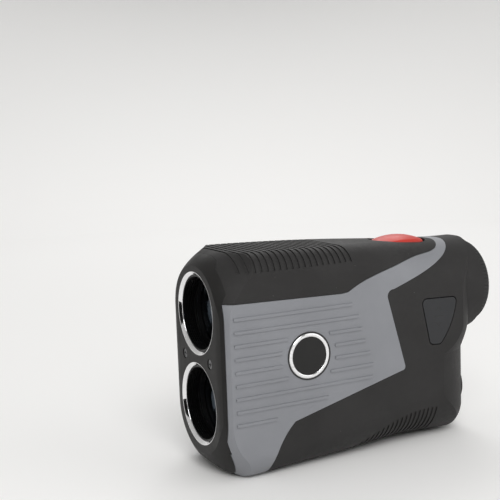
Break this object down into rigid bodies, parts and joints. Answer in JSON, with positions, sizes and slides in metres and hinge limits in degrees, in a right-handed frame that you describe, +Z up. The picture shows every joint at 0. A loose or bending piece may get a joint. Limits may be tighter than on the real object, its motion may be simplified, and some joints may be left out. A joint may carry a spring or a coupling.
{
  "type": "golf laser rangefinder",
  "caption": "Handheld golf laser rangefinder with stacked front lenses, rear eyepiece with turning eyecup, roof and side buttons, and a rear battery cap.",
  "frame": {"origin": "on the standing surface, below the middle of the housing's length and width", "axes": "+X towards the target along the lens axes, +Y to the user's left, +Z up"},
  "size_m": [0.112, 0.0418, 0.0743],
  "materials": {
    "grip_rubber": "soft-touch matte",
    "bezel_plastic": "fine texture",
    "panel_plastic": "satin",
    "trim_chrome": "polished",
    "red_plastic": "satin gloss",
    "button_rubber": "satin",
    "chassis_plastic": "moulded",
    "badge_black": "gloss",
    "screw_steel": "blackened",
    "magnet_metal": "nickel plated",
    "seal_rubber": "matte",
    "lens_glass": "coated",
    "tube_black": "flat black",
    "bench_aluminium": "die cast",
    "board_green": "solder mask",
    "chip_black": "moulded",
    "can_metal": "tinned",
    "contact_brass": "plated",
    "battery_wrap": "plastic sleeve"
  },
  "bodies": {
    "housing": {"front_bezel": "bezel_plastic", "objective_trim_ring": "trim_chrome", "receiver_trim_ring": "trim_chrome", "bezel_screws": "screw_steel", "chassis_left": "chassis_plastic", "chassis_right": "chassis_plastic", "chassis_screws": "screw_steel", "rear_grip": "grip_rubber", "top_grip": "grip_rubber", "side_panel_left": "panel_plastic", "side_panel_right": "panel_plastic", "badge_gasket": "seal_rubber", "badge_ring": "trim_chrome", "badge_disc": "badge_black", "magnet_cover": "badge_black", "mount_magnet": "magnet_metal", "power_button_seal": "seal_rubber", "power_switch": "chip_black", "power_switch_board": "board_green", "mode_button_seal": "seal_rubber", "mode_switch": "chip_black", "mode_switch_board": "board_green", "eyepiece_bearing": "chassis_plastic", "objective_tube": "tube_black", "receiver_tube": "tube_black", "objective_lens": "lens_glass", "receiver_lens": "lens_glass", "lens_retainers": "tube_black", "optical_bench": "bench_aluminium", "splitter_mount": "bench_aluminium", "beam_splitter": "lens_glass", "prism_holder": "tube_black", "prisms": "lens_glass", "display_plate": "lens_glass", "laser_diode": "can_metal", "laser_board": "board_green", "detector_board": "board_green", "detector_can": "can_metal", "main_pcb": "board_green", "pcb_chips": "chip_black", "shield_can": "can_metal", "vibration_motor": "can_metal", "motor_cradle": "chassis_plastic", "battery_tube": "chassis_plastic", "battery_contact": "contact_brass"},
    "power_button": {"power_button": "red_plastic"},
    "mode_button": {"mode_button": "button_rubber"},
    "diopter_ring": {"diopter_ring": "chassis_plastic", "eyecup": "seal_rubber", "ocular_barrel": "tube_black", "eye_lens": "lens_glass", "field_lens": "lens_glass"},
    "battery": {"battery": "battery_wrap"},
    "cap_seal": {"battery_cap_seal": "seal_rubber"},
    "battery_cap": {"battery_cap": "bezel_plastic", "cap_spring": "contact_brass", "cap_tab_pin": "screw_steel"},
    "cap_tab": {"cap_tab": "bezel_plastic"},
    "motor_weight": {"motor_weight": "screw_steel"}
  },
  "joints": [
    {"name": "power_press", "type": "slide", "parent": "housing", "child": "power_button", "axis": [0, 0, -1], "range_m": [0, 0.0009], "stiffness_N_per_m": 1200, "springref_m": -0.0004},
    {"name": "mode_press", "type": "slide", "parent": "housing", "child": "mode_button", "axis": [0, -1, 0], "range_m": [0, 0.0006], "stiffness_N_per_m": 1500, "springref_m": -0.0003},
    {"name": "diopter_turn", "type": "hinge", "parent": "housing", "child": "diopter_ring", "pos_m": [-0.052, 0, 0.0532], "axis": [1, 0, 0], "range_deg": [-120, 120]},
    {"name": "battery_slide", "type": "slide", "parent": "housing", "child": "battery", "axis": [-1, 0, 0], "range_m": [0, 0.03]},
    {"name": "cap_pull", "type": "slide", "parent": "housing", "child": "cap_seal", "axis": [-1, 0, 0], "range_m": [0, 0.036]},
    {"name": "cap_turn", "type": "hinge", "parent": "cap_seal", "child": "battery_cap", "pos_m": [-0.045, 0, 0.0152], "axis": [1, 0, 0], "range_deg": [0, 90]},
    {"name": "tab_fold", "type": "hinge", "parent": "battery_cap", "child": "cap_tab", "pos_m": [-0.04745, 0, 0.0211], "axis": [0, 1, 0], "range_deg": [0, 90]},
    {"name": "motor_spin", "type": "hinge", "parent": "housing", "child": "motor_weight", "pos_m": [0.006, 0.001, 0.0115], "axis": [1, 0, 0], "continuous": true}
  ],
  "couplings": [
    {"joint": "cap_pull", "follows": "battery_slide", "ratio": 1.15}
  ]
}
